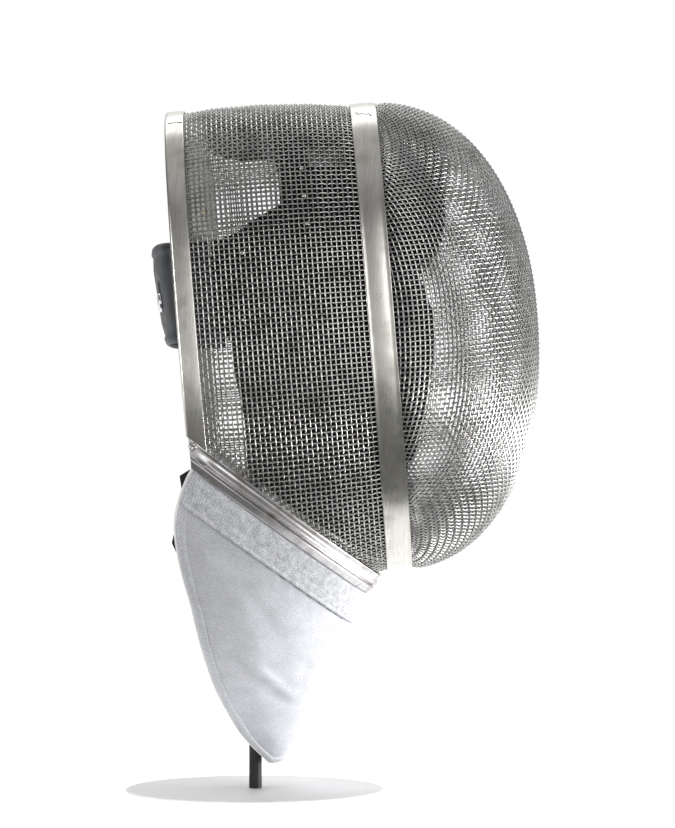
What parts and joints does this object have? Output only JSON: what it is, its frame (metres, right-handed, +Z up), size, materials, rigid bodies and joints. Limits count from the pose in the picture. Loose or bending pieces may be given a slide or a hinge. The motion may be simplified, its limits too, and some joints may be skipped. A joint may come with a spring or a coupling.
{
  "type": "fencing mask on stand",
  "caption": "Fencing mask with a woven steel wire face, steel bands, padded lining and a cloth bib, held up on a plain round stand.",
  "frame": {"origin": "middle of the underside of the stand's round base, under the rod", "axes": "+Z up, -Y towards the front of the mask, +X towards the wearer's left"},
  "size_m": [0.2148, 0.2537, 0.4255],
  "materials": {
    "wire_steel": "woven bright wire",
    "band_steel": "satin",
    "strip_metal": "satin, ribbed",
    "lame_cloth": "silver grey woven with metal thread",
    "white_cloth": "matte cotton",
    "tape_cloth": "ribbed woven tape",
    "black_tape": "hook tape",
    "strap_rubber": "matte moulded",
    "stud_steel": "polished",
    "black_steel": "black satin",
    "white_board": "white lacquer",
    "lining_cloth": "matte padded cloth",
    "patch_cloth": "grey woven cloth"
  },
  "bodies": {
    "root": {"front_mesh": "wire_steel", "side_mesh": "wire_steel", "ring_band": "band_steel", "rear_trim": "band_steel", "lining": "lining_cloth", "window_patch_left": "patch_cloth", "window_patch_right": "patch_cloth", "bib_strip": "strip_metal", "bib_rivet_left": "band_steel", "bib_rivet_right": "band_steel", "bib_cover": "lame_cloth", "bib_lining": "white_cloth", "bib_tape": "tape_cloth", "tab_upper_left": "black_tape", "tab_upper_right": "black_tape", "tab_lower_left": "black_tape", "tab_lower_right": "black_tape", "back_strap": "strap_rubber", "strap_stud": "stud_steel", "stand_base": "white_board", "stand_rod": "black_steel", "stand_rest": "black_steel"}
  },
  "joints": []
}
